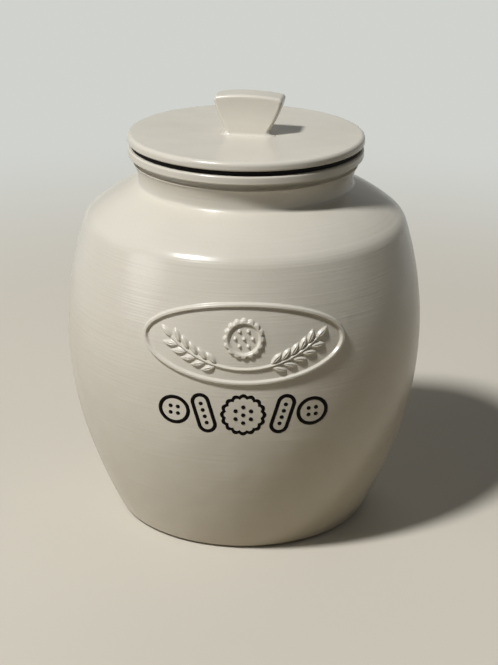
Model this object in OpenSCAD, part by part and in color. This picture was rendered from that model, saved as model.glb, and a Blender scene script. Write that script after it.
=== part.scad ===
// Stoneware biscuit jar with a push-in lid.
// Three pieces: the jar, the lid with its hollow plug and flared knob, and the
// soft ring seal that sits round the plug and fills the gap under the lid.
// The outlines are half sections in the r-z plane, built from tangent arcs and
// turned about the Z axis. The jar stands on Z = 0.

/* [Jar] */
// Diameter at the widest ring
belly_d = 190.4; // [188:0.2:194]
// Height of the widest ring
belly_z = 102; // [98:1:106]
// Radius of the belly's upright arc
belly_arc_r = 190; // [180:1:200]
// Height where the belly passes into the flatter lower arc
lower_z = 45; // [35:1:55]
// Radius of the lower arc
lower_arc_r = 295; // [280:1:360]
// Height where the shoulder starts to turn in
shoulder_z = 161.5; // [158:0.5:162]
// Radius of the shoulder's turn
shoulder_turn_r = 12; // [9:0.5:15]
// Slope of the shoulder above its turn, from level
shoulder_slope = 40; // [37:1:42]
// Radius of the long arc from the turn to the neck
shoulder_arc_r = 84; // [80:1:96]
// Wall thickness
wall = 5.5; // [4.5:0.1:6]
// Thickness of the floor, from the standing plane
floor_t = 8; // [7:0.5:12]
// Radius inside, between the floor and the wall
floor_fillet = 9; // [5:0.5:14]

/* [Neck and rim] */
// Radius at the narrowest ring of the neck
neck_r = 56.6; // [56:0.1:57.5]
// Height of the narrowest ring
neck_z = 183.5; // [182:0.5:185]
// Radius of the neck's hollow curve
neck_cove_r = 20; // [17:1:30]
// Radius of the blend between the shoulder and the neck
neck_fillet = 2.5; // [1:0.25:4]
// Radius of the bore that takes the seal
bore_r = 51; // [50.8:0.1:51.5]
// Outer radius of the rim band
rim_r = 61.8; // [61:0.1:62.4]
// Height of the flat on top of the rim
jar_h = 201; // [200:0.1:202]
// Height of the rim band
rim_band_h = 4.5; // [4:0.1:5]
// Rounding of the rim's edges
rim_round = 1.4; // [0.6:0.1:1.8]

/* [Foot] */
// Outer radius of the unglazed standing ring
foot_r = 65; // [62:0.5:66]
// Width of the standing ring
foot_w = 7; // [4:0.5:9]
// Height of the standing ring below the jar's lower edge
foot_h = 1.4; // [1:0.1:2]

/* [Raised ornament] */
// Width of the oval frame
frame_w = 100; // [94:1:104]
// Height of the oval frame
frame_h = 42; // [40:1:44]
// Width of its raised line
frame_line = 3; // [2:0.1:3.2]
// Height of its centre above the standing plane
frame_z = 125.5; // [120:0.5:128]
// How far the ornament stands proud
relief_h = 1.5; // [0.8:0.1:1.8]
// Pairs of grains on each wheat ear
grain_pairs = 5; // [3:1:5]

/* [Lid] */
// Outer radius of the lid's disc
lid_r = 62.1; // [61:0.1:63]
// Thickness of the disc
lid_t = 4.1; // [4:0.1:6]
// Rounding of the disc's upper edge
lid_round = 2.2; // [1:0.1:2.6]
// Outer radius of the plug's lower lip
plug_r = 46.5; // [45.5:0.1:47]
// Wall of the hollow plug
plug_wall = 6; // [5:0.5:8]
// Depth of the plug below the disc
plug_h = 18; // [16:0.5:22]
// Turn of the lid about the jar's axis, from square to the ornament
lid_turn_deg = -9; // [-45:1:45]

/* [Knob] */
// Width at the lid
knob_base_w = 20.5; // [18:0.5:24]
// Width at the top
knob_top_w = 35.7; // [28:0.1:38]
// Knob thickness, front to back, at its foot
knob_base_d = 18.4; // [16:0.2:20]
// Knob thickness at the crown
knob_top_d = 14; // [10:0.5:16]
// Height above the lid, at the middle
knob_h = 20.9; // [17:0.1:24]
// Radius of the crowned top
knob_crown_r = 105; // [60:5:200]
// Rounding of the knob's edges
knob_round = 1.4; // [0.8:0.1:2]
// How far the hand-set knob sits off the lid's centre, along its width
knob_shift = 1.7; // [0:0.1:2.5]

/* [Seal] */
// Thickness of the flange between rim and lid
seal_gap = 3.2; // [2:0.1:3.6]
// Outer radius of the flange
flange_r = 60.2; // [57:0.1:60.4]
// Thickness of the sleeve round the plug
sleeve_t = 2; // [1.6:0.1:2.2]
// Number of soft fins
fin_count = 3; // [2:1:4]
// Thickness of a fin at its tip
fin_tip_t = 0.9; // [0.7:0.1:1.2]
// Gap between the fins and the bore
fin_gap = 0.3; // [0.3:0.1:0.6]

/* [Hidden] */

GLAZE = "#CFC8B9";
SEAL = "#1D1A18";

// Running gap between the plug's groove and the seal's bore, radial
seal_fit = 0.05;
// Play of the seal between the disc and the plug's lip, at each end
seal_play = 0.02;
// Farthest that a chord lies inside its arc
chord_off = 0.02;
// Depth of the plug's groove for the seal
groove_d = 2;
// Height of the plug's lip below the groove
plug_lip_h = 3.5;
belly_r = belly_d / 2;
lid_z = jar_h + seal_gap;
lid_top = lid_z + lid_t;
groove_r = plug_r - groove_d;
knob_top = lid_top + knob_h;

// ---- arcs ----

// Points on an arc about c, from angle a0 to a1, with chords within chord_off of the arc
function arc(c, r, a0, a1) =
    let (n = max(2, ceil(abs(a1 - a0) / (2 * acos(1 - chord_off / r)))))
    [for (i = [0:n]) let (a = a0 + (a1 - a0) * i / n) c + r * [cos(a), sin(a)]];

// Direction of a vector, from 0 to 360 degrees
function angle_of(v) = (atan2(v[1], v[0]) + 360) % 360;

// The crossing of two circles that lies to the left of the way from c1 to c2
function crossing(c1, r1, c2, r2) =
    let (d = norm(c2 - c1), u = (c2 - c1) / d,
         along = (d * d + r1 * r1 - r2 * r2) / (2 * d),
         off = sqrt(r1 * r1 - along * along))
    c1 + along * u + off * [-u[1], u[0]];

// ---- the jar's tangent chain, from the foot up ----

belly_c = [belly_r - belly_arc_r, belly_z];
lower_a = -asin((belly_z - lower_z) / belly_arc_r);
upper_a = asin((shoulder_z - belly_z) / belly_arc_r);
lower_c = belly_c + (belly_arc_r - lower_arc_r) * [cos(lower_a), sin(lower_a)];
turn_c = belly_c + (belly_arc_r - shoulder_turn_r) * [cos(upper_a), sin(upper_a)];
turn_a = 90 - shoulder_slope;
shoulder_c = turn_c + (shoulder_turn_r - shoulder_arc_r) * [cos(turn_a), sin(turn_a)];
cove_c = [neck_r + neck_cove_r, neck_z];
// The blend touches the shoulder from outside and the neck's curve from inside
blend_c = crossing(shoulder_c, shoulder_arc_r + neck_fillet,
                   cove_c, neck_cove_r - neck_fillet);
blend_a0 = angle_of(shoulder_c - blend_c);
blend_a1 = angle_of(blend_c - cove_c);

// Rounded lower edge of the wall, above the foot
edge_r = 1;
edge_a = asin((foot_h + edge_r - lower_c[1]) / (lower_arc_r - edge_r));
edge_c = lower_c + (lower_arc_r - edge_r) * [cos(edge_a), sin(edge_a)];

// Rim band: below it a fine groove and a small ridge close the neck's curve
rim_low = jar_h - rim_band_h;
ridge_z = rim_low - 3.6;
ridge_r = neck_r + 2.5;
bead_r = 0.35;
undercut_r = ridge_r - 1.3;
cove_end_a = 180 - asin((ridge_z - bead_r - neck_z) / neck_cove_r);

// Inside: the same arcs, a wall's thickness in
floor_c = let (z = floor_t + floor_fillet, reach = lower_arc_r - wall - floor_fillet)
    [lower_c[0] + sqrt(reach * reach - pow(z - lower_c[1], 2)), z];
floor_a = angle_of(floor_c - lower_c) - 360;
bore_a = acos((bore_r - shoulder_c[0]) / (shoulder_arc_r - wall));
mouth_round = 1.5;
recess_z = foot_h + 1;

function jar_outside() = concat(
    [[0, recess_z], [foot_r - foot_w - 1, recess_z], [foot_r - foot_w, 0], [foot_r, 0],
     [foot_r, foot_h]],
    arc(edge_c, edge_r, 270, edge_a + 360),
    arc(lower_c, lower_arc_r, edge_a, lower_a),
    arc(belly_c, belly_arc_r, lower_a, upper_a),
    arc(turn_c, shoulder_turn_r, upper_a, turn_a),
    arc(shoulder_c, shoulder_arc_r, turn_a, angle_of(blend_c - shoulder_c)),
    arc(blend_c, neck_fillet, blend_a0, blend_a1),
    arc(cove_c, neck_cove_r, blend_a1, cove_end_a),
    arc([ridge_r - bead_r, ridge_z], bead_r, 300, 450),
    [[undercut_r, ridge_z + 2 * bead_r], [undercut_r, rim_low - 0.8], [undercut_r + 0.8, rim_low]],
    arc([rim_r - rim_round, rim_low + rim_round], rim_round, 280, 360),
    arc([rim_r - rim_round, jar_h - rim_round], rim_round, 0, 90));

function jar_inside() = concat(
    arc([bore_r + mouth_round, jar_h - mouth_round], mouth_round, 90, 180),
    arc(shoulder_c, shoulder_arc_r - wall, bore_a, turn_a),
    arc(turn_c, shoulder_turn_r - wall, turn_a, upper_a),
    arc(belly_c, belly_arc_r - wall, upper_a, lower_a),
    arc(lower_c, lower_arc_r - wall, lower_a, floor_a),
    arc(floor_c, floor_fillet, floor_a, -90),
    [[0, floor_t]]);

// ---- raised ornament, drawn flat in x and z ----

// A slim grain: two equal arcs meeting in points
module grain(length, width) {
    r = (length * length + width * width) / (4 * width);
    intersection() {
        translate([0, r - width / 2]) circle(r, $fn = 128);
        translate([0, width / 2 - r]) circle(r, $fn = 128);
    }
}

// Oval line: an ellipse by formula, less the same ellipse drawn in by the line's width
function oval(w, h) = [for (a = [0:5:355]) [w / 2 * cos(a), h / 2 * sin(a)]];

module frame_line() {
    difference() {
        polygon(oval(frame_w, frame_h));
        polygon(oval(frame_w - 2 * frame_line, frame_h - 2 * frame_line));
    }
}

// One wheat ear on a stem that rises along an arc to the right
stem_r = 52;
stem_c = [0, 39.5];
stem_w = 1.4;
stem_start = -7;
ear_start = 15;
ear_step = 5.6;
grain_l = 8.4;
grain_w = 3.2;
grain_tilt = 32;

function from_stem_c(a, r) = stem_c + r * [sin(a), -cos(a)];

module ear() {
    last = ear_start + ear_step * grain_pairs;
    wedge_r = 1.5 * stem_r;
    intersection() {
        translate(stem_c) difference() {
            circle(stem_r + stem_w / 2, $fn = 180);
            circle(stem_r - stem_w / 2, $fn = 180);
        }
        polygon([stem_c, from_stem_c(stem_start, wedge_r), from_stem_c(last / 2, wedge_r),
                 from_stem_c(last, wedge_r)]);
    }
    for (i = [0:grain_pairs - 1], side = [-1, 1]) {
        a = ear_start + i * ear_step;
        translate(from_stem_c(a, stem_r)) rotate(a + side * grain_tilt)
            translate([grain_l / 2, side * 0.6]) grain(grain_l, grain_w);
    }
    translate(from_stem_c(last, stem_r)) rotate(last) translate([grain_l / 2 - 1, 0])
        grain(grain_l, grain_w);
}

// A round biscuit with a scalloped edge and seven docking dots
biscuit_r = 10.5;
scallops = 16;
module biscuit() {
    lobe_r = 1.9;
    dot_r = 1;
    difference() {
        union() {
            circle(biscuit_r - 0.9, $fn = 96);
            for (i = [0:scallops - 1]) rotate(i * 360 / scallops)
                translate([biscuit_r - lobe_r, 0]) circle(lobe_r, $fn = 32);
        }
        circle(biscuit_r - 3, $fn = 96);
    }
    circle(dot_r, $fn = 32);
    for (i = [0:5]) rotate(i * 60) translate([4.3, 0]) circle(dot_r, $fn = 32);
}

module ornament_outline() {
    frame_line();
    for (flip = [0, 1]) mirror([flip, 0]) ear();
    translate([0, 3]) biscuit();
}

// The outline is pushed through from the front, as a mould draws, and stops
// at a shell that follows the belly
module ornament() {
    reach = frame_h / 2 + 4;
    low_a = asin((frame_z - reach - belly_z) / belly_arc_r);
    high_a = asin((frame_z + reach - belly_z) / belly_arc_r);
    intersection() {
        rotate([90, 0, 0]) translate([0, frame_z, belly_r / 2])
            linear_extrude(belly_r) ornament_outline();
        rotate_extrude($fn = 180) polygon(concat(
            arc(belly_c, belly_arc_r + relief_h, low_a, high_a),
            arc(belly_c, belly_arc_r - wall / 2, high_a, low_a)));
    }
}

module jar_body() color(GLAZE) {
    rotate_extrude($fn = 180) polygon(concat(jar_outside(), jar_inside()));
    ornament();
}

// ---- lid ----

module knob() {
    w_base = knob_base_w / 2 - knob_round;
    w_top = knob_top_w / 2 - knob_round;
    y_base = knob_base_d / 2 - knob_round;
    y_top = knob_top_d / 2 - knob_round;
    crown_steps = 3;
    // Crowned tab, wider and thinner at the top, with every edge rounded
    translate([knob_shift, 0, 0]) hull() for (side = [-1, 1]) {
        for (end = [-1, 1]) translate([end * w_base, side * y_base, lid_top - knob_round])
            sphere(knob_round, $fn = 24);
        for (i = [-crown_steps:crown_steps]) {
            x = w_top * i / crown_steps;
            drop = knob_crown_r - sqrt(knob_crown_r * knob_crown_r - x * x);
            translate([x, side * y_top, knob_top - knob_round - drop])
                sphere(knob_round, $fn = 24);
        }
    }
    // Splayed foot where the tab runs out into the disc
    splay = 1.8;
    hull() for (end = [-1, 1], side = [-1, 1])
        translate([knob_shift + end * w_base, side * y_base, lid_top - 0.2])
            cylinder(h = splay + 0.2, r1 = knob_round + splay + 0.2, r2 = knob_round, $fn = 24);
}

module lid() color(GLAZE) rotate([0, 0, lid_turn_deg]) {
    lower_round = 1;
    plug_low = lid_z - plug_h;
    lip_top = plug_low + plug_lip_h;
    hollow_r = plug_r - plug_wall;
    hollow_fillet = 3;
    rotate_extrude($fn = 180) polygon(concat(
        [[0, lid_top]],
        arc([lid_r - lid_round, lid_top - lid_round], lid_round, 90, 0),
        arc([lid_r - lower_round, lid_z + lower_round], lower_round, 0, -90),
        [[groove_r, lid_z], [groove_r, lip_top], [plug_r, lip_top]],
        arc([plug_r - lower_round, plug_low + lower_round], lower_round, 0, -90),
        arc([hollow_r + lower_round, plug_low + lower_round], lower_round, -90, -180),
        arc([hollow_r - hollow_fillet, lid_z - hollow_fillet], hollow_fillet, 0, 90),
        [[0, lid_z]]));
    knob();
}

// ---- seal ----

// One fin, springing from the sleeve and reaching out and a little down
function fin(z) = let (root = groove_r + seal_fit + sleeve_t, tip = bore_r - fin_gap)
    [[root, z + 1.2], [tip, z + fin_tip_t / 2], [tip, z - fin_tip_t / 2],
     [root, z - 1.2]];

module lid_seal() color(SEAL) {
    inner = groove_r + seal_fit;
    low = lid_z - plug_h + plug_lip_h + seal_play;
    top = lid_z - seal_play;
    pitch = (jar_h - low) / (fin_count + 0.5);
    rotate_extrude($fn = 180) polygon(concat(
        [[inner, top], [flange_r, top], [flange_r, jar_h], [inner + sleeve_t, jar_h]],
        [for (i = [0:fin_count - 1]) each fin(jar_h - pitch * (i + 1))],
        [[inner + sleeve_t, low], [inner, low]]));
}

jar_body();
lid();
lid_seal();
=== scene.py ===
"""Looks of the stoneware biscuit jar: glazed jar with a raised ornament and a printed
row of biscuits, lid with a flared tab knob, and the ring seal between them, whose
near-black colour is in part painted shade of the gap.

Drawing sizes are in millimetres, as a maker would dimension them, and every mesh is
made in metres in the shared frame: +Z up, -Y to the front, the jar standing on Z = 0.
"""
import math

import bmesh
import bpy
from mathutils import Matrix, Vector


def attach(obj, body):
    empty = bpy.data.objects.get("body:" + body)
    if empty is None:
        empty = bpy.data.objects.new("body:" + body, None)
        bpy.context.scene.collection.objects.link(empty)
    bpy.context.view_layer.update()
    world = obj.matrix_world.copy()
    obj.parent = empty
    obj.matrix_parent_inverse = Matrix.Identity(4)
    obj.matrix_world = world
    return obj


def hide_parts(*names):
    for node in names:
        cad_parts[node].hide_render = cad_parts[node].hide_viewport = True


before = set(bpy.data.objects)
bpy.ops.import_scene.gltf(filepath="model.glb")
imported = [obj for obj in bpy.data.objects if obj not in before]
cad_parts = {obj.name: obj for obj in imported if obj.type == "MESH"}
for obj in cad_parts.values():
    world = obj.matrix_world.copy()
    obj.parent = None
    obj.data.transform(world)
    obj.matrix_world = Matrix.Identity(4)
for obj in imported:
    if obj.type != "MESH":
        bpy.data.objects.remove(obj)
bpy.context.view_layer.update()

MM = 0.001
# Points of one piece that lie closer than this, in metres, are one point
WELD = 0.000002

# ---------------------------------------------------------------- sizes, in mm

# Jar: barrel, shoulder and wall
BELLY_R = 95.16
BELLY_Z = 102.0
BELLY_ARC_R = 190.0
LOWER_Z = 45.0
LOWER_ARC_R = 295.0
SHOULDER_Z = 161.5
SHOULDER_TURN_R = 12.0
SHOULDER_SLOPE = 40.0
SHOULDER_ARC_R = 84.0
JAR_H = 201.0
WALL = 5.5
FLOOR_T = 8.0
FLOOR_FILLET = 9.0

# Neck, the fine ridge on it, the groove above the ridge, and the rim band
NECK_R = 56.6
NECK_Z = 183.5
NECK_COVE_R = 20.0
NECK_FILLET = 2.5
BORE_R = 51.0
BORE_FILLET = 2.0
BORE_FILLET_RISE = 1.4
BORE_FILLET_TURN = 1.6
MOUTH_ROUND = 1.5
RIDGE_DROP = 3.6
RIDGE_OUT = 2.5
RIDGE_BEAD_R = 0.45
UNDERCUT = 1.6
UNDERCUT_FOOT_R = 0.5
UNDERCUT_FOOT_RISE = 0.3
UNDERCUT_ROUND = 0.4
RIM_R = 61.8
RIM_BAND_H = 4.5
RIM_ROUND = 1.0

# Standing ring, the recess inside it, and the jar's lower edge
FOOT_R = 65.0
FOOT_W = 7.0
FOOT_H = 1.4
FOOT_ROUND = 0.5
FOOT_BLEND_W = 0.3
FOOT_BLEND_H = 0.2
RECESS_Z = FOOT_H + 1
RECESS_SIDE = 1.0
BARE_Z = FOOT_H - 0.25
EDGE_R = 0.6

# Lid: disc, plug and the plug's groove
LID_R = 62.1
LID_T = 4.6
LID_ROUND = 2.2
LID_LOWER_ROUND = 1.0
PLUG_R = 46.5
PLUG_WALL = 6.0
PLUG_H = 18.0
PLUG_LIP_H = 3.5
PLUG_LIP_ROUND = 0.5
GROOVE_D = 2.0
HOLLOW_FILLET = 3.0
LID_TURN = -9.0

# Knob
KNOB_BASE_W = 19.6
KNOB_TOP_W = 36.9
KNOB_BASE_D = 18.4
KNOB_TOP_D = 14.0
KNOB_H = 20.85
KNOB_CROWN_R = 105.0
KNOB_SIDE_R = 54.0
KNOB_ROUND = 1.7
KNOB_ROUND_STEPS = 5
KNOB_CORNER = 2.1
KNOB_FLARE = 3
KNOB_SHIFT = 1.7
KNOB_FOOT_H = 2.2
KNOB_FOOT_SIDE = 3.6
KNOB_FOOT_FRONT = 1.4
KNOB_FOOT_STEPS = 6
KNOB_ROWS = 10
KNOB_SINK = 1.0

# Ring seal
SEAL_GAP = 2.7
SEAL_FIT = 0.05
SEAL_PLAY = 0.02
SEAL_ROUND = 0.5
FLANGE_R = 60.2
SLEEVE_T = 2.0
FIN_COUNT = 3
FIN_TIP_T = 0.9
FIN_ROOT_T = 2.4
FIN_GAP = 0.3

# Oval frame and relief of the ornament
FRAME_W = 100.0
FRAME_H = 42.0
FRAME_LINE = 2.7
FRAME_Z = 125.5
RELIEF_H = 1.48
RELIEF_SLOPE = 0.85
RELIEF_MARGIN = 1.5
# Rows about 1 mm apart there, in degrees of the belly's arc; the ornament itself is cut
# four times finer
RELIEF_STEP = 0.3

# Rows of points on the wide flats, and at these distances from edges and corners, which
# keep the faces beside them well shaped
JAR_FLAT_ROW = 30.0
LID_FLAT_ROWS = (20.0, 45.0)
EDGE_ROW = 2.0
LID_TOP_ROW = 1.0
LID_UNDER_ROW = 3.0
GROOVE_ROW = 1.0
GROOVE_WALL_ROW = 0.4

LID_Z = JAR_H + SEAL_GAP
LID_TOP = LID_Z + LID_T
GROOVE_R = PLUG_R - GROOVE_D


# ---------------------------------------------------------------- arcs in the r-z plane

def arc(centre, radius, start, end, step=4.0):
    """Points along an arc, angles in degrees from the outward direction."""
    count = max(2, math.ceil(abs(end - start) / step))
    turns = [math.radians(start + (end - start) * i / count) for i in range(count + 1)]
    return [(centre[0] + radius * math.cos(a), centre[1] + radius * math.sin(a)) for a in turns]


def bearing(start, end):
    """Direction from one point to another, 0 to 360 degrees."""
    return math.degrees(math.atan2(end[1] - start[1], end[0] - start[0])) % 360


def along(centre, distance, angle):
    """The point at a distance from another, in a direction."""
    a = math.radians(angle)
    return (centre[0] + distance * math.cos(a), centre[1] + distance * math.sin(a))


def crossing(c1, r1, c2, r2):
    """Where two circles cross, on the left of the way from c1 to c2."""
    dx, dz = c2[0] - c1[0], c2[1] - c1[1]
    gap = math.hypot(dx, dz)
    ux, uz = dx / gap, dz / gap
    reach = (gap * gap + r1 * r1 - r2 * r2) / (2 * gap)
    off = math.sqrt(r1 * r1 - reach * reach)
    return (c1[0] + reach * ux - off * uz, c1[1] + reach * uz + off * ux)


def arcsine(ratio):
    """Angle of a sine, in degrees."""
    return math.degrees(math.asin(ratio))


# The jar's tangent chain, from the foot up
belly_c = (BELLY_R - BELLY_ARC_R, BELLY_Z)
lower_a = -arcsine((BELLY_Z - LOWER_Z) / BELLY_ARC_R)
upper_a = arcsine((SHOULDER_Z - BELLY_Z) / BELLY_ARC_R)
lower_c = along(belly_c, BELLY_ARC_R - LOWER_ARC_R, lower_a)
turn_c = along(belly_c, BELLY_ARC_R - SHOULDER_TURN_R, upper_a)
turn_a = 90 - SHOULDER_SLOPE
shoulder_c = along(turn_c, SHOULDER_TURN_R - SHOULDER_ARC_R, turn_a)
cove_c = (NECK_R + NECK_COVE_R, NECK_Z)
blend_c = crossing(shoulder_c, SHOULDER_ARC_R + NECK_FILLET, cove_c, NECK_COVE_R - NECK_FILLET)
edge_a = arcsine((FOOT_H + EDGE_R - lower_c[1]) / (LOWER_ARC_R - EDGE_R))
edge_c = along(lower_c, LOWER_ARC_R - EDGE_R, edge_a)
rim_low = JAR_H - RIM_BAND_H
ridge_z = rim_low - RIDGE_DROP
ridge_r = NECK_R + RIDGE_OUT
undercut_r = ridge_r - UNDERCUT
undercut_z = ridge_z + 2 * RIDGE_BEAD_R + UNDERCUT_FOOT_RISE
relief_low = arcsine((FRAME_Z - FRAME_H / 2 - RELIEF_MARGIN - BELLY_Z) / BELLY_ARC_R)
relief_high = arcsine((FRAME_Z + FRAME_H / 2 + RELIEF_MARGIN - BELLY_Z) / BELLY_ARC_R)


def belly_radius(z):
    """Outer radius of the belly at a height."""
    return belly_c[0] + math.sqrt(BELLY_ARC_R ** 2 - (z - BELLY_Z) ** 2)


def foot_outline():
    """The recess under the jar, the standing ring and the step up to the lower edge."""
    inner = FOOT_R - FOOT_W
    return ([(0, RECESS_Z), (JAR_FLAT_ROW, RECESS_Z), (inner - RECESS_SIDE, RECESS_Z)]
            + arc((inner + FOOT_ROUND, FOOT_ROUND), FOOT_ROUND, 180, 270, 30)
            + arc((FOOT_R - FOOT_ROUND, FOOT_ROUND), FOOT_ROUND, 270, 360, 30)
            + [(FOOT_R, FOOT_H - FOOT_BLEND_H), (FOOT_R + FOOT_BLEND_W, FOOT_H),
               (FOOT_R + EDGE_ROW, FOOT_H)])


def jar_outline():
    """The vessel's profile, from the axis under the jar, up the outside and down the inside
    to the axis again."""
    outside = (foot_outline()
               + arc(edge_c, EDGE_R, 270, edge_a + 360, 15)
               + arc(lower_c, LOWER_ARC_R, edge_a, lower_a, 0.6)[1:]
               + arc(belly_c, BELLY_ARC_R, lower_a, relief_low, 1.0)[1:]
               + arc(belly_c, BELLY_ARC_R, relief_low, relief_high, RELIEF_STEP)[1:]
               + arc(belly_c, BELLY_ARC_R, relief_high, upper_a, 1.0)[1:]
               + arc(turn_c, SHOULDER_TURN_R, upper_a, turn_a, 3)[1:]
               + arc(shoulder_c, SHOULDER_ARC_R, turn_a, bearing(shoulder_c, blend_c), 1.5)[1:]
               + arc(blend_c, NECK_FILLET, bearing(blend_c, shoulder_c),
                     bearing(cove_c, blend_c), 8)[1:]
               + arc(cove_c, NECK_COVE_R, bearing(cove_c, blend_c),
                     180 - arcsine((ridge_z - RIDGE_BEAD_R - NECK_Z) / NECK_COVE_R), 3)[1:]
               + arc((ridge_r - RIDGE_BEAD_R, ridge_z), RIDGE_BEAD_R, -60, 90, 25)
               + arc((undercut_r + UNDERCUT_FOOT_R, undercut_z), UNDERCUT_FOOT_R, 230, 180, 25)
               + arc((undercut_r + UNDERCUT_ROUND, rim_low - UNDERCUT_ROUND), UNDERCUT_ROUND,
                     180, 90, 18)
               + arc((RIM_R - RIM_ROUND, rim_low + RIM_ROUND), RIM_ROUND, 280, 360, 12)
               + arc((RIM_R - RIM_ROUND, JAR_H - RIM_ROUND), RIM_ROUND, 0, 90, 12))
    inside_r = SHOULDER_ARC_R - WALL
    bore_a = math.degrees(math.acos((BORE_R - shoulder_c[0]) / inside_r))
    bore_z = along(shoulder_c, inside_r, bore_a)[1]
    fillet_z = FLOOR_T + FLOOR_FILLET
    reach = LOWER_ARC_R - WALL - FLOOR_FILLET
    fillet_c = (lower_c[0] + math.sqrt(reach ** 2 - (fillet_z - lower_c[1]) ** 2), fillet_z)
    fillet_a = bearing(lower_c, fillet_c) - 360
    inside = (arc((BORE_R + MOUTH_ROUND, JAR_H - MOUTH_ROUND), MOUTH_ROUND, 90, 180, 15)
              + arc((BORE_R + BORE_FILLET, bore_z + BORE_FILLET_RISE), BORE_FILLET, 180, 240, 15)
              + arc(shoulder_c, inside_r, bore_a - BORE_FILLET_TURN, turn_a, 3)
              + arc(turn_c, SHOULDER_TURN_R - WALL, turn_a, upper_a, 8)[1:]
              + arc(belly_c, BELLY_ARC_R - WALL, upper_a, lower_a, 2)[1:]
              + arc(lower_c, LOWER_ARC_R - WALL, lower_a, fillet_a, 2)[1:]
              + arc(fillet_c, FLOOR_FILLET, fillet_a, -90, 12)[1:]
              + [(JAR_FLAT_ROW, FLOOR_T), (0, FLOOR_T)])
    return outside + inside


def lid_outline():
    """The lid's profile, from the axis over the disc, under its edge and round the grooved
    plug to the axis again."""
    low = LID_Z - PLUG_H
    lip = low + PLUG_LIP_H
    hollow_r = PLUG_R - PLUG_WALL
    soft, turned = PLUG_LIP_ROUND, LID_LOWER_ROUND
    near, far = LID_FLAT_ROWS
    return ([(0, LID_TOP), (near, LID_TOP), (far, LID_TOP),
             (LID_R - LID_ROUND - LID_TOP_ROW, LID_TOP)]
            + arc((LID_R - LID_ROUND, LID_TOP - LID_ROUND), LID_ROUND, 90, 0, 9)
            + arc((LID_R - turned, LID_Z + turned), turned, 0, -90, 15)
            + [(LID_R - LID_UNDER_ROW, LID_Z), (GROOVE_R + GROOVE_ROW, LID_Z), (GROOVE_R, LID_Z),
               (GROOVE_R, LID_Z - GROOVE_WALL_ROW), (GROOVE_R, lip + GROOVE_WALL_ROW),
               (GROOVE_R, lip)]
            + arc((PLUG_R - soft, lip - soft), soft, 90, 0, 30)
            + arc((PLUG_R - turned, low + turned), turned, 0, -90, 15)
            + arc((hollow_r + turned, low + turned), turned, -90, -180, 15)
            + arc((hollow_r - HOLLOW_FILLET, LID_Z - HOLLOW_FILLET), HOLLOW_FILLET, 0, 90, 12)
            + [(near, LID_Z), (0, LID_Z)])


def fin_outline(z):
    """One soft fin at a height: thick at the sleeve, thin and round at its tip."""
    root, tip = GROOVE_R + SEAL_FIT + SLEEVE_T, BORE_R - FIN_GAP
    half = FIN_TIP_T / 2
    return ([(root, z + FIN_ROOT_T / 2)] + arc((tip - half, z), half, 80, -80, 40)
            + [(root, z - FIN_ROOT_T / 2)])


def seal_outline():
    """The ring seal's closed profile: flange under the disc, fins, and sleeve in the groove."""
    inner = GROOVE_R + SEAL_FIT
    low = LID_Z - PLUG_H + PLUG_LIP_H + SEAL_PLAY
    top = LID_Z - SEAL_PLAY
    pitch = (JAR_H - low) / (FIN_COUNT + 0.5)
    edge = FLANGE_R - SEAL_ROUND
    points = [(inner, top)]
    points += arc((edge, top - SEAL_ROUND), SEAL_ROUND, 90, 0, 30)
    points += arc((edge, JAR_H + SEAL_ROUND), SEAL_ROUND, 0, -90, 30)
    points += [(inner + SLEEVE_T, JAR_H)]
    for i in range(FIN_COUNT):
        points += fin_outline(JAR_H - pitch * (i + 1))
    return points + [(inner + SLEEVE_T, low), (inner, low)]


# ---------------------------------------------------------------- mesh helpers

def finish_piece(name, bm, materials, weld=WELD):
    """Merges doubles, turns the faces outwards and links the piece at the origin."""
    bmesh.ops.remove_doubles(bm, verts=bm.verts, dist=weld)
    bmesh.ops.recalc_face_normals(bm, faces=bm.faces)
    for face in bm.faces:
        face.smooth = True
    mesh = bpy.data.meshes.new(name)
    bm.to_mesh(mesh)
    bm.free()
    for material in materials:
        mesh.materials.append(material)
    piece = bpy.data.objects.new(name, mesh)
    bpy.context.scene.collection.objects.link(piece)
    return piece


def weigh_normals(piece):
    """Keeps the flats flat beside their rounded edges."""
    shade = piece.modifiers.new("flat_faces_first", "WEIGHTED_NORMAL")
    shade.mode = "FACE_AREA"
    shade.weight = 50
    shade.keep_sharp = True


def turn(bm, outline, closed, sectors, start=0.0):
    """Spins an outline about Z through sectors of (degrees, steps). A full turn closes on
    itself, and smaller sectors are joined when the doubles are merged."""
    a = math.radians(start)
    verts = [bm.verts.new((r * MM * math.cos(a), r * MM * math.sin(a), z * MM))
             for r, z in outline]
    pairs = list(zip(verts, verts[1:]))
    if closed:
        pairs.append((verts[-1], verts[0]))
    geometry = verts + [bm.edges.new(pair) for pair in pairs]
    for degrees, steps in sectors:
        made = bmesh.ops.spin(bm, geom=geometry, cent=(0, 0, 0), axis=(0, 0, 1),
                              dvec=(0, 0, 0), angle=math.radians(degrees), steps=steps,
                              use_merge=degrees == 360, use_normal_flip=False,
                              use_duplicate=False)
        geometry = made["geom_last"]


# ---------------------------------------------------------------- raised ornament

# Wheat ears on a curved stem, sizes in mm and angles in degrees from the stem's middle
STEM_R = 52.0
STEM_C = (0.0, 39.5)
STEM_HALF = 0.7
STEM_EASE = 0.3
STEM_SLOPE = 0.95
STEM_RISE = 0.75
STEM_START = -7.0
EAR_START = 15.0
EAR_STEP = 5.6
GRAIN_PAIRS = 5
GRAIN_L = 8.6
GRAIN_W = 3.5
GRAIN_TILT = 32.0
GRAIN_OUT = 0.6
GRAIN_SLOPE = 1.3
GRAIN_REACH = GRAIN_L * 0.6
CREASE_DEPTH = 0.28
CREASE_HALF = 0.45

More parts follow.
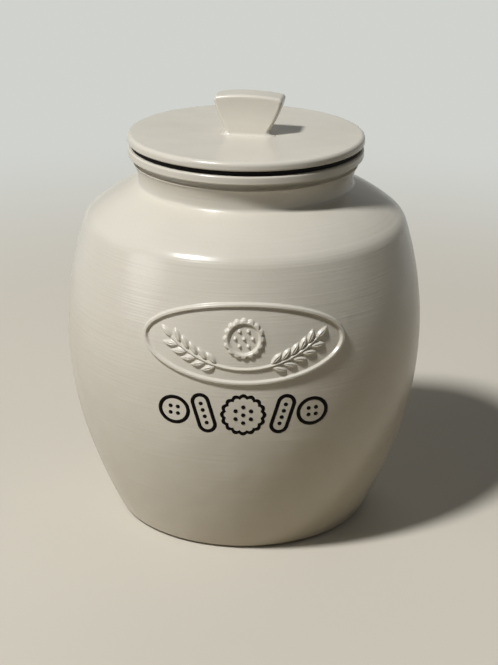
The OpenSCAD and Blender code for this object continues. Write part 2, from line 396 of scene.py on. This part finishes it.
# Round biscuit in the middle
MEDAL_C = (0.0, 3.0)
MEDAL_R = 10.5
MEDAL_SCALLOPS = 16
MEDAL_LOBE = 1.1
MEDAL_BAND = 3.6
MEDAL_SLOPE = 1.2
MEDAL_DOTS = 6
MEDAL_DOTS_R = 4.3
MEDAL_DOT_R = 1.15
MEDAL_DOT_SLOPE = 0.9
MEDAL_DOT_RISE = 0.75

# Plain border round the ornament's field, reach of the fine faces, and cuts in each of them
FIELD_EDGE = 3.0
FINE_REACH = 0.8
FINE_CUTS = 3


def swell(depth, slope=RELIEF_SLOPE):
    """Height of a rounded form at a depth inside its outline, from 0 to 1."""
    t = min(1.0, max(0.0, depth / slope))
    return 0.5 - 0.5 * math.cos(math.pi * t)


def frame_depth(x, z):
    """Depth inside the oval line, in mm, and below 0 off it."""
    a, b = (FRAME_W - FRAME_LINE) / 2, (FRAME_H - FRAME_LINE) / 2
    reach = math.hypot(x / a, z / b)
    steep = math.hypot(x / (a * a), z / (b * b))
    if steep < 1e-6:
        return -10.0
    return FRAME_LINE / 2 - abs(reach * (reach - 1) / steep)


def stem_point(angle):
    """Point on the stem's middle line."""
    return along(STEM_C, STEM_R, angle - 90)


def grains():
    """Each grain of one ear: its middle and its lie, in degrees."""
    made = []
    for i in range(GRAIN_PAIRS):
        turn_at = EAR_START + i * EAR_STEP
        for side in (-1, 1):
            lie = turn_at + side * GRAIN_TILT
            foot = stem_point(turn_at)
            middle = along(along(foot, GRAIN_L / 2, lie), side * GRAIN_OUT, lie + 90)
            made.append((middle, lie))
    last = EAR_START + EAR_STEP * GRAIN_PAIRS
    made.append((along(stem_point(last), GRAIN_L / 2 - 1, last), last))
    return made


GRAINS = grains()
GRAIN_ARC_R = (GRAIN_L ** 2 + GRAIN_W ** 2) / (4 * GRAIN_W)


def grain_height(x, z, grain):
    """A rounded seed with a fine crease along its middle."""
    (cx, cz), lie = grain
    a = math.radians(lie)
    u = (x - cx) * math.cos(a) + (z - cz) * math.sin(a)
    v = (z - cz) * math.cos(a) - (x - cx) * math.sin(a)
    off = GRAIN_ARC_R - GRAIN_W / 2
    depth = GRAIN_ARC_R - math.hypot(u, abs(v) + off)
    crease = CREASE_DEPTH * max(0.0, 1 - abs(v) / CREASE_HALF)
    return swell(depth, GRAIN_SLOPE) * (1 - crease)


def ear_height(x, z):
    """The stem and the ear on its right half."""
    angle = bearing(STEM_C, (x, z)) - 270
    depth = STEM_HALF - abs(math.hypot(x - STEM_C[0], z - STEM_C[1]) - STEM_R)
    height = 0.0
    if STEM_START < angle < EAR_START + EAR_STEP * GRAIN_PAIRS:
        height = STEM_RISE * swell(depth + STEM_EASE, STEM_SLOPE)
    for grain in GRAINS:
        if math.hypot(x - grain[0][0], z - grain[0][1]) < GRAIN_REACH:
            height = max(height, grain_height(x, z, grain))
    return height


def medal_height(x, z):
    """A small round biscuit: scalloped edge, sunk field, raised dots."""
    dx, dz = x - MEDAL_C[0], z - MEDAL_C[1]
    reach = math.hypot(dx, dz)
    lobe = abs(math.cos(MEDAL_SCALLOPS / 2 * math.atan2(dz, dx)))
    edge = MEDAL_R - MEDAL_LOBE + MEDAL_LOBE * lobe
    height = min(swell(edge - reach, MEDAL_SLOPE),
                 swell(reach - MEDAL_R + MEDAL_BAND, MEDAL_SLOPE))
    dots = [(0.0, 0.0)] + [along((0, 0), MEDAL_DOTS_R, 360 / MEDAL_DOTS * i)
                           for i in range(MEDAL_DOTS)]
    nearest = min(math.hypot(dx - px, dz - pz) for px, pz in dots)
    return max(height, MEDAL_DOT_RISE * swell(MEDAL_DOT_R - nearest, MEDAL_DOT_SLOPE))


def relief_height(x, z):
    """Height of the ornament, 0 to 1, at a place seen square from the front. Both ears are
    one drawing, mirrored, and their stems meet in the middle."""
    height = swell(frame_depth(x, z))
    if math.hypot(x / FRAME_W, z / FRAME_H) < 0.5:
        height = max(height, ear_height(abs(x), z), ear_height(-abs(x), z))
        if math.hypot(x - MEDAL_C[0], z - MEDAL_C[1]) < MEDAL_R + 1:
            height = max(height, medal_height(x, z))
    return height


def on_front(vert):
    """True on the outer wall, in the ornament's field."""
    x, z = vert.co.x / MM, vert.co.z / MM
    reach = math.hypot(x / (FRAME_W + FIELD_EDGE), (z - FRAME_Z) / (FRAME_H + FIELD_EDGE))
    return (vert.co.y < 0 and reach < 0.5
            and math.hypot(vert.co.x, vert.co.y) / MM > belly_radius(z) - WALL / 2)


def near_ornament(face):
    """True where any of the ornament lies within about a millimetre of a face's middle."""
    if not all(on_front(vert) for vert in face.verts):
        return False
    middle = face.calc_center_median() / MM
    around = (-FINE_REACH, 0, FINE_REACH)
    return any(relief_height(middle.x + dx, middle.z - FRAME_Z + dz) > 0
               for dx in around for dz in around)


def raise_ornament(bm):
    """Cuts the ornament's faces finer and moves them out along the jar's radius."""
    fine = {edge for face in bm.faces if near_ornament(face) for edge in face.edges}
    bmesh.ops.subdivide_edges(bm, edges=list(fine), cuts=FINE_CUTS, use_grid_fill=True)
    for vert in bm.verts:
        if on_front(vert):
            x, z = vert.co.x / MM, vert.co.z / MM
            out = belly_radius(z) + RELIEF_H * relief_height(x, z - FRAME_Z)
            scale = out * MM / math.hypot(vert.co.x, vert.co.y)
            vert.co.x *= scale
            vert.co.y *= scale


# ---------------------------------------------------------------- printed row of biscuits

PRINT_Z = 88.5
PRINT_LINE = 1.9
PRINT_PROUD = 0.05
PRINT_T = 0.1
RING_STEPS = 96
DOT_R = 1.05
DOT_STEPS = 24

# Large scalloped biscuit in the middle
LARGE_R = 10.6
LARGE_SCALLOPS = 16
LARGE_LOBE = 1.0
LARGE_DOTS_R = 4.4

# Finger biscuits beside it, leaning out
FINGER_X = 19.6
FINGER_R = 3.9
FINGER_STRETCH = 12.5
FINGER_LEAN = 16.0
FINGER_DOTS = 4
FINGER_DOT_STEP = 3.6

# Small round biscuits at the ends
SMALL_X = 34.4
SMALL_R = 7.0
SMALL_DOTS_R = 2.6


def printed_ring(bm, centre, radius, line, scallops=0, depth=0.0, stretch=0.0, tilt=0.0,
                 steps=RING_STEPS):
    """A ring of even line, scalloped or drawn out into a finger shape."""
    inner = bm.verts.new((radius - line / 2, 0, 0))
    outer = bm.verts.new((radius + line / 2, 0, 0))
    edge = bm.edges.new((inner, outer))
    bmesh.ops.spin(bm, geom=[inner, outer, edge], cent=(0, 0, 0), axis=(0, 0, 1),
                   dvec=(0, 0, 0), angle=math.tau, steps=steps, use_merge=True,
                   use_normal_flip=False, use_duplicate=False)
    ring = ring_of(inner)
    for vert in ring:
        around = math.atan2(vert.co.y, vert.co.x)
        if scallops:
            swing = depth * (abs(math.cos(scallops / 2 * around)) - 1)
            vert.co.x += swing * math.cos(around)
            vert.co.y += swing * math.sin(around)
        if abs(vert.co.y) > 0.001:
            vert.co.y += math.copysign(stretch / 2, vert.co.y)
    place = Matrix.Translation((centre[0], centre[1], 0))
    leaning = Matrix.Rotation(math.radians(tilt), 4, "Z")
    bmesh.ops.transform(bm, matrix=place @ leaning, verts=ring)


def ring_of(vert):
    """Every vertex joined to one vertex by faces or edges."""
    seen, queue = {vert}, [vert]
    while queue:
        for edge in queue.pop().link_edges:
            for other in edge.verts:
                if other not in seen:
                    seen.add(other)
                    queue.append(other)
    return list(seen)


def printed_dot(bm, centre):
    """One round dot of ink."""
    place = Matrix.Translation((centre[0], centre[1], 0))
    bmesh.ops.create_circle(bm, cap_ends=True, cap_tris=False, segments=DOT_STEPS, radius=DOT_R,
                            matrix=place)


def printed_dots(bm, centre, radius, count, start):
    """A ring of dots round a biscuit's middle."""
    for i in range(count):
        printed_dot(bm, along(centre, radius, 360 / count * i + start))


def wrap_on_belly(bm):
    """Carries a flat print, x and z in mm about the print's middle, onto the belly."""
    for vert in bm.verts:
        x, z = vert.co.x, PRINT_Z + vert.co.y
        out = belly_radius(z) + PRINT_PROUD
        vert.co = Vector((x * MM, -math.sqrt(out * out - x * x) * MM, z * MM))


def make_print():
    """A row of five plain biscuits in ink: finger and small round ones beside a large one."""
    bm = bmesh.new()
    printed_ring(bm, (0, 0), LARGE_R, PRINT_LINE, scallops=LARGE_SCALLOPS, depth=LARGE_LOBE,
                 steps=2 * RING_STEPS)
    printed_dots(bm, (0, 0), LARGE_DOTS_R, 6, 30)
    printed_dot(bm, (0, 0))
    for side in (-1, 1):
        finger = (side * FINGER_X, 0)
        lean = -side * FINGER_LEAN
        printed_ring(bm, finger, FINGER_R, PRINT_LINE, stretch=FINGER_STRETCH, tilt=lean)
        for i in range(FINGER_DOTS):
            step = i - (FINGER_DOTS - 1) / 2
            printed_dot(bm, along(finger, FINGER_DOT_STEP * step, 90 + lean))
        small = (side * SMALL_X, 0)
        printed_ring(bm, small, SMALL_R, PRINT_LINE)
        printed_dots(bm, small, SMALL_DOTS_R, 4, 45)
    wrap_on_belly(bm)
    piece = finish_piece("printed_biscuits", bm, [ink], weld=WELD / 2)
    thick = piece.modifiers.new("print_thickness", "SOLIDIFY")
    thick.thickness = PRINT_T * MM
    thick.offset = -1
    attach(piece, "jar")


# ---------------------------------------------------------------- knob

# The tab's outline is a chain too: a swelling side, a small corner and a broad crown
crown_c = (0, KNOB_H - KNOB_CROWN_R)
knob_top = (KNOB_TOP_W / 2, crown_c[1] + math.sqrt(KNOB_CROWN_R ** 2 - KNOB_TOP_W ** 2 / 4))
side_c = crossing((KNOB_BASE_W / 2, 0), KNOB_SIDE_R, knob_top, KNOB_SIDE_R)
corner_c = crossing(side_c, KNOB_SIDE_R - KNOB_CORNER, crown_c, KNOB_CROWN_R - KNOB_CORNER)
knob_rows = [KNOB_FOOT_H + (corner_c[1] - KNOB_CORNER - KNOB_FOOT_H) * i / KNOB_ROWS
             for i in range(KNOB_ROWS + 1)]


def knob_half_width(height):
    """Half width of the tab at a height above the lid, below its corners."""
    return side_c[0] + math.sqrt(KNOB_SIDE_R ** 2 - (height - side_c[1]) ** 2)


def knob_half_depth(height):
    """Half thickness of the tab at a height above the lid: it flares toward its foot."""
    flare = max(0.0, 1 - height / KNOB_H) ** KNOB_FLARE
    return (KNOB_TOP_D + (KNOB_BASE_D - KNOB_TOP_D) * flare) / 2


def knob_outline():
    """The tab seen from the front, from its right foot up over the crown to its left foot."""
    start, end = bearing(side_c, corner_c), bearing(crown_c, corner_c)
    right = ([(knob_half_width(height), height) for height in knob_rows]
             + arc(corner_c, KNOB_CORNER, start - 360 if start > 180 else start, end, 12))
    crown = arc(crown_c, KNOB_CROWN_R, end, 180 - end, 1.5)
    return right + crown[1:-1] + [(-x, z) for x, z in reversed(right)]


def kept(geometry, kind):
    """Those of some geometry that are of one kind."""
    return [g for g in geometry if isinstance(g, kind)]


def knob_tab():
    """The tab's skin: its front outline carried through its thickness, which grows toward
    the foot, with every edge rounded, and open below. It is 1 mm thick to each side until
    its rows are cut, and is then drawn out to the real thickness."""
    knob = bmesh.new()
    mark = knob.edges.layers.int.new("outline")
    rim = [knob.verts.new((x, -1, z)) for x, z in knob_outline()]
    front = knob.faces.new(rim)
    made = bmesh.ops.extrude_face_region(knob, geom=[front])["geom"]
    bmesh.ops.translate(knob, vec=(0, 2, 0), verts=kept(made, bmesh.types.BMVert))
    floor = [f for f in knob.faces if all(abs(v.co.z - KNOB_FOOT_H) < 1e-3 for v in f.verts)]
    bmesh.ops.delete(knob, geom=floor, context="FACES")
    for edge in knob.edges:
        across = abs(edge.verts[0].co.y - edge.verts[1].co.y) > 1e-3
        edge[mark] = int(len(edge.link_faces) == 2 and not across)
    for height in knob_rows[1:]:
        bmesh.ops.bisect_plane(knob, geom=knob.verts[:] + knob.edges[:] + knob.faces[:],
                               plane_co=(0, 0, height), plane_no=(0, 0, 1), dist=1e-4)
    for vert in knob.verts:
        vert.co.y *= knob_half_depth(vert.co.z)
    edges = [e for e in knob.edges if e[mark] == 1]
    bmesh.ops.bevel(knob, geom=edges, offset=KNOB_ROUND, offset_type="OFFSET",
                    segments=KNOB_ROUND_STEPS, profile=0.5, affect="EDGES", material=-1,
                    clamp_overlap=True)
    return knob


def add_cove(knob):
    """The tab's open lower edge runs out and down in a quarter circle."""
    core_x = knob_half_width(KNOB_FOOT_H) - KNOB_ROUND
    core_y = knob_half_depth(KNOB_FOOT_H) - KNOB_ROUND
    rim = [e for e in knob.edges if len(e.link_faces) == 1]
    for i in range(KNOB_FOOT_STEPS):
        made = bmesh.ops.extrude_edge_only(knob, edges=rim)["geom"]
        rim = [e for e in kept(made, bmesh.types.BMEdge) if len(e.link_faces) == 1]
        a0, a1 = (math.radians(90 * step / KNOB_FOOT_STEPS) for step in (i, i + 1))
        out = math.cos(a0) - math.cos(a1)
        down = KNOB_FOOT_H * (math.sin(a1) - math.sin(a0))
        for vert in {v for e in rim for v in e.verts}:
            near = Vector((max(-core_x, min(core_x, vert.co.x)),
                           max(-core_y, min(core_y, vert.co.y))))
            away = (vert.co.xy - near).normalized()
            vert.co.x += away.x * out * KNOB_FOOT_SIDE
            vert.co.y += away.y * out * KNOB_FOOT_FRONT
            vert.co.z -= down
    return rim


def make_knob(bm):
    """Adds the knob to the lid: the tab, its cove, and a foot sunk into the disc."""
    knob = knob_tab()
    rim = add_cove(knob)
    made = bmesh.ops.extrude_edge_only(knob, edges=rim)["geom"]
    bmesh.ops.translate(knob, vec=(0, 0, -KNOB_SINK), verts=kept(made, bmesh.types.BMVert))
    bmesh.ops.holes_fill(knob, edges=[e for e in knob.edges if len(e.link_faces) == 1], sides=0)
    place = Matrix.Scale(MM, 4) @ Matrix.Translation((KNOB_SHIFT, 0, LID_TOP))
    bmesh.ops.transform(knob, matrix=place, verts=knob.verts)
    bmesh.ops.recalc_face_normals(knob, faces=knob.faces)
    shape = bpy.data.meshes.new("knob_shape")
    knob.to_mesh(shape)
    knob.free()
    bm.from_mesh(shape)
    bpy.data.meshes.remove(shape)
    bmesh.ops.rotate(bm, verts=bm.verts, cent=(0, 0, 0),
                     matrix=Matrix.Rotation(math.radians(LID_TURN), 3, "Z"))


# ---------------------------------------------------------------- materials

def linear(hex_colour):
    """sRGB hex to linear RGBA."""
    parts = [int(hex_colour[i:i + 2], 16) / 255 for i in (0, 2, 4)]
    return [c / 12.92 if c <= 0.04045 else ((c + 0.055) / 1.055) ** 2.4 for c in parts] + [1.0]


def add(tree, kind, inputs=None, links=None, **settings):
    """Adds a node, with its settings, its input values and its links."""
    node = tree.nodes.new(kind)
    for key, value in settings.items():
        setattr(node, key, value)
    for key, value in (inputs or {}).items():
        node.inputs[key].default_value = value
    for key, socket in (links or {}).items():
        tree.links.new(socket, node.inputs[key])
    return node


def new_material(name, roughness, ior=1.5):
    """A material with its node tree and its shader."""
    material = bpy.data.materials.new(name)
    material.use_nodes = True
    tree = material.node_tree
    shader = tree.nodes["Principled BSDF"]
    shader.inputs["Roughness"].default_value = roughness
    shader.inputs["IOR"].default_value = ior
    return material, tree, shader


def satin_glaze(name, figure):
    """Cream satin glaze on slip-cast stoneware, dipped and fired: an even putty cream with
    a soft sheen, faint marks where the cast was sponged on the wheel, and a slow unevenness
    from the dip. The figure is the marks' number to a metre along each axis: on the jar they
    are rings about 1.1 mm apart, and on the lid they are soft clouds of about 17 mm."""
    material, tree, shader = new_material(name, roughness=0.24)
    place = add(tree, "ShaderNodeTexCoord").outputs["Object"]
    # Slow drift of the glaze's tone, over about 60 mm
    drift = add(tree, "ShaderNodeTexNoise", {"Scale": 16.0, "Detail": 2.0, "Roughness": 0.5},
                {"Vector": place})
    tone = add(tree, "ShaderNodeValToRGB", links={"Fac": drift.outputs["Fac"]})
    tone.color_ramp.elements[0].position = 0.3
    tone.color_ramp.elements[0].color = linear("CBC5B8")
    tone.color_ramp.elements[1].position = 0.7
    tone.color_ramp.elements[1].color = linear("D2CDC0")
    # Pin-prick mottling of the glaze, about 1 mm
    fleck = add(tree, "ShaderNodeTexNoise", {"Scale": 900.0, "Detail": 2.0}, {"Vector": place})
    mix = add(tree, "ShaderNodeMix", {"Factor": 0.05}, data_type="RGBA", blend_type="OVERLAY")
    tree.links.new(tone.outputs["Color"], mix.inputs[6])
    tree.links.new(fleck.outputs["Color"], mix.inputs[7])
    tree.links.new(mix.outputs[2], shader.inputs["Base Color"])
    # Sheen varies a little with the same drift
    rough = add(tree, "ShaderNodeMapRange", {"To Min": 0.2, "To Max": 0.27},
                {"Value": drift.outputs["Fac"]})
    tree.links.new(rough.outputs["Result"], shader.inputs["Roughness"])
    # Sponge marks, and a slow lumpiness of about 20 mm under them
    squeeze = add(tree, "ShaderNodeMapping", {"Scale": figure}, {"Vector": place})
    marks = add(tree, "ShaderNodeTexNoise", {"Scale": 1.0, "Detail": 3.0, "Roughness": 0.6},
                {"Vector": squeeze.outputs["Vector"]})
    lump = add(tree, "ShaderNodeTexNoise", {"Scale": 45.0, "Detail": 1.0}, {"Vector": place})
    rise = add(tree, "ShaderNodeBump", {"Strength": 0.6, "Distance": 0.0008},
               {"Height": lump.outputs["Fac"]})
    bump = add(tree, "ShaderNodeBump", {"Strength": 1.0, "Distance": 0.00013},
               {"Height": marks.outputs["Fac"], "Normal": rise.outputs["Normal"]})
    tree.links.new(bump.outputs["Normal"], shader.inputs["Normal"])
    return material


def bare_stoneware():
    """Unglazed stoneware of the standing ring, wiped clean before firing: dry, warm and
    sandy to the eye, with grains of about 0.7 mm."""
    material, tree, shader = new_material("bare_stoneware", roughness=0.85)
    place = add(tree, "ShaderNodeTexCoord").outputs["Object"]
    sand = add(tree, "ShaderNodeTexNoise", {"Scale": 1400.0, "Detail": 3.0}, {"Vector": place})
    tone = add(tree, "ShaderNodeValToRGB", links={"Fac": sand.outputs["Fac"]})
    tone.color_ramp.elements[0].position = 0.35
    tone.color_ramp.elements[0].color = linear("A59782")
    tone.color_ramp.elements[1].position = 0.65
    tone.color_ramp.elements[1].color = linear("C6BAA5")
    tree.links.new(tone.outputs["Color"], shader.inputs["Base Color"])
    bump = add(tree, "ShaderNodeBump", {"Strength": 0.5, "Distance": 0.0002},
               {"Height": sand.outputs["Fac"]})
    tree.links.new(bump.outputs["Normal"], shader.inputs["Normal"])
    return material


def transfer_ink():
    """Ceramic transfer print fired on the glaze: near-black brown with little gloss, and a
    slight thinning of the colour in spots of about 2 mm."""
    material, tree, shader = new_material("ceramic_transfer_brown", roughness=0.3)
    shader.inputs["Specular IOR Level"].default_value = 0.06
    place = add(tree, "ShaderNodeTexCoord").outputs["Object"]
    thin = add(tree, "ShaderNodeTexNoise", {"Scale": 500.0, "Detail": 2.0}, {"Vector": place})
    tone = add(tree, "ShaderNodeValToRGB", links={"Fac": thin.outputs["Fac"]})
    tone.color_ramp.elements[0].color = linear("050202")
    tone.color_ramp.elements[1].color = linear("0B0503")
    tree.links.new(tone.outputs["Color"], shader.inputs["Base Color"])
    return material


def seal_silicone():
    """Moulded silicone rubber, matt, with a dusty tooth, which is drawn about 1.4 mm wide so
    that it shows. Its near-black colour and weak gloss are in part painted shade: they keep
    the gap between lid and rim as dark as the shade that falls in it."""
    material, tree, shader = new_material("black_silicone_and_painted_gap_shade", roughness=0.7, ior=1.41)
    shader.inputs["Specular IOR Level"].default_value = 0.2
    place = add(tree, "ShaderNodeTexCoord").outputs["Object"]
    dust = add(tree, "ShaderNodeTexNoise", {"Scale": 700.0, "Detail": 2.0}, {"Vector": place})
    tone = add(tree, "ShaderNodeValToRGB", links={"Fac": dust.outputs["Fac"]})
    # Near black: the rubber's own dark colour and, in part, painted shade of the gap
    tone.color_ramp.elements[0].color = linear("080706")
    tone.color_ramp.elements[1].color = linear("0F0D0C")
    tree.links.new(tone.outputs["Color"], shader.inputs["Base Color"])
    rough = add(tree, "ShaderNodeMapRange", {"To Min": 0.62, "To Max": 0.8},
                {"Value": dust.outputs["Fac"]})
    tree.links.new(rough.outputs["Result"], shader.inputs["Roughness"])
    return material


# ---------------------------------------------------------------- pieces

JAR_FIGURE = (12.0, 12.0, 900.0)
LID_FIGURE = (60.0, 60.0, 60.0)

glaze = satin_glaze("satin_cream_glaze", JAR_FIGURE)
lid_glaze = satin_glaze("satin_cream_glaze_lid", LID_FIGURE)
clay = bare_stoneware()
ink = transfer_ink()
silicone = seal_silicone()

# The jar's front sector, 34 degrees to each side, is turned in fine steps to carry the ornament
FRONT_HALF = 34.0
FRONT_STEPS = 113
BACK_STEPS = 98
ROUND_STEPS = 160


def make_jar():
    """The vessel, glazed all over but for its standing ring."""
    bm = bmesh.new()
    turn(bm, jar_outline(), False,
         [(2 * FRONT_HALF, FRONT_STEPS), (360 - 2 * FRONT_HALF, BACK_STEPS)],
         start=-90 - FRONT_HALF)
    bmesh.ops.remove_doubles(bm, verts=bm.verts, dist=WELD)
    raise_ornament(bm)
    piece = finish_piece("glazed_jar", bm, [glaze, clay])
    for face in piece.data.polygons:
        if max(piece.data.vertices[i].co.z for i in face.vertices) < BARE_Z * MM:
            face.material_index = 1
    weigh_normals(piece)
    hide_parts("jar_body")
    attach(piece, "jar")


def make_lid():
    """The lid with its plug and its knob, one fired piece."""
    bm = bmesh.new()
    turn(bm, lid_outline(), False, [(360, ROUND_STEPS)])
    bmesh.ops.remove_doubles(bm, verts=bm.verts, dist=WELD)
    make_knob(bm)
    piece = finish_piece("glazed_lid", bm, [lid_glaze])
    weigh_normals(piece)
    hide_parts("lid")
    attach(piece, "lid")


def make_seal():
    """The ring seal, which sits in the plug's groove."""
    bm = bmesh.new()
    turn(bm, seal_outline(), True, [(360, ROUND_STEPS)])
    piece = finish_piece("ring_seal", bm, [silicone])
    weigh_normals(piece)
    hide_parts("lid_seal")
    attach(piece, "seal")


make_jar()
make_lid()
make_seal()
make_print()


# ---------------------------------------------------------------- stage, light and camera

FLOOR_HALF = 6.0

# Lamps: place and width in metres and power in watts. The key is at the front left, 55
# degrees up; a low panel is on the left, a faint one on the right and a broad one behind
LAMP_AIM = Vector((0, 0, 0.1))
KEY = ((-1.76, -1.48, 3.38), 0.5, 166)
LEFT_PANEL = ((-2.3, -0.85, 0.53), 1.2, 10.5)
RIGHT_PANEL = ((2.0, -0.5, 1.6), 1.6, 4)
BACK_PANEL = ((0.3, 2.5, 1.3), 2.6, 14)

# Place and aim in metres, roll in radians, and the focal length in pixels over a frame
# whose long side has 665 pixels
CAMERA_EYE = Vector((0, -0.850, 0.4255))
CAMERA_AIM = Vector((0.0027, 0, 0.0957))
CAMERA_ROLL = 0.0118
FOCAL_PIXELS = 1669.0
FRAME_PIXELS = 665.0
SENSOR_MM = 36.0

# The backdrop's brightness, and the room's in gloss and in light, where 1 is white
BACKDROP_COLOUR = "E6E8E3"
BACKDROP = 0.8
ROOM_GLOSS = 0.38
ROOM_LIGHT = 0.035
# Where the floor starts and ends to fade into the backdrop, in metres from the jar
FADE_START = 0.3
FADE_END = 0.8


def background_rays(tree):
    """1 for rays that show the background to the eye, in gloss or through glass, and 0 for
    the light that it gives."""
    path = add(tree, "ShaderNodeLightPath")
    shown = add(tree, "ShaderNodeMath", links={0: path.outputs["Is Camera Ray"],
                                               1: path.outputs["Is Glossy Ray"]},
                operation="MAXIMUM")
    return add(tree, "ShaderNodeMath", links={0: shown.outputs[0],
                                              1: path.outputs["Is Transmission Ray"]},
               operation="MAXIMUM").outputs[0]


def plain_floor():
    """Plain matt studio floor, with no figure of its own: pale to the eye, duller in the
    light that it throws back on the jar, and fading into the pale backdrop far off."""
    material, tree, shader = new_material("plain_matt_floor", roughness=0.9)
    shown = background_rays(tree)
    mix = add(tree, "ShaderNodeMix", links={"Factor": shown}, data_type="RGBA")
    mix.inputs[6].default_value = linear("9E927B")
    mix.inputs[7].default_value = linear("C9C3B6")
    tree.links.new(mix.outputs[2], shader.inputs["Base Color"])
    level = add(tree, "ShaderNodeMath", {1: BACKDROP}, {0: shown}, operation="MULTIPLY")
    glow = add(tree, "ShaderNodeEmission", {"Color": linear(BACKDROP_COLOUR)},
               {"Strength": level.outputs[0]})
    place = add(tree, "ShaderNodeTexCoord").outputs["Object"]
    far = add(tree, "ShaderNodeVectorMath", links={0: place}, operation="LENGTH")
    fade = add(tree, "ShaderNodeMapRange", {"From Min": FADE_START, "From Max": FADE_END},
               {"Value": far.outputs["Value"]}, interpolation_type="SMOOTHSTEP")
    both = add(tree, "ShaderNodeMixShader", links={0: fade.outputs["Result"],
                                                   1: shader.outputs[0], 2: glow.outputs[0]})
    tree.links.new(both.outputs[0], tree.nodes["Material Output"].inputs["Surface"])
    return material


def make_floor():
    """A plain floor, kept apart from the jar's body."""
    bm = bmesh.new()
    bmesh.ops.create_grid(bm, x_segments=1, y_segments=1, size=FLOOR_HALF)
    piece = finish_piece("floor", bm, [plain_floor()])


def area_light(name, place, size, power, in_gloss=True):
    """A round soft lamp, turned toward the jar. Gloss shows it or not."""
    lamp = bpy.data.lights.new(name, "AREA")
    lamp.shape = "DISK"
    lamp.size = size
    lamp.energy = power
    holder = bpy.data.objects.new(name, lamp)
    holder.visible_camera = False
    holder.visible_glossy = in_gloss
    holder.location = place
    holder.rotation_euler = (LAMP_AIM - Vector(place)).to_track_quat("-Z", "Y").to_euler()
    bpy.context.scene.collection.objects.link(holder)


def soft_world():
    """A dim even room, whose pale backdrop shows to the eye and in the glaze's gloss."""
    world = bpy.data.worlds.new("soft_room")
    bpy.context.scene.world = world
    world.use_nodes = True
    tree = world.node_tree
    back = tree.nodes["Background"]
    back.inputs["Color"].default_value = linear(BACKDROP_COLOUR)
    gloss = add(tree, "ShaderNodeMapRange", {"To Min": ROOM_LIGHT, "To Max": ROOM_GLOSS},
                {"Value": background_rays(tree)})
    eye = add(tree, "ShaderNodeLightPath").outputs["Is Camera Ray"]
    level = add(tree, "ShaderNodeMix", links={"Factor": eye}, data_type="FLOAT")
    tree.links.new(gloss.outputs["Result"], level.inputs[2])
    level.inputs[3].default_value = BACKDROP
    tree.links.new(level.outputs[0], back.inputs["Strength"])


def make_camera():
    """The photograph's place: about 0.85 m in front and 0.43 m up, looking down at the jar."""
    camera = bpy.data.cameras.new("camera")
    camera.sensor_fit = "AUTO"
    camera.sensor_width = SENSOR_MM
    camera.lens = SENSOR_MM * FOCAL_PIXELS / FRAME_PIXELS
    camera.clip_start = 0.01
    holder = bpy.data.objects.new("camera", camera)
    bpy.context.scene.collection.objects.link(holder)
    look = (CAMERA_AIM - CAMERA_EYE).to_track_quat("-Z", "Y").to_matrix()
    lean = Matrix.Rotation(CAMERA_ROLL, 3, "Z")
    holder.location = CAMERA_EYE
    holder.rotation_euler = (look @ lean).to_euler()
    bpy.context.scene.camera = holder


make_camera()
make_floor()
area_light("key", *KEY)
area_light("left_panel", *LEFT_PANEL)
area_light("right_panel", *RIGHT_PANEL, in_gloss=False)
area_light("back_panel", *BACK_PANEL, in_gloss=False)
soft_world()
bpy.context.scene.view_settings.view_transform = "Standard"
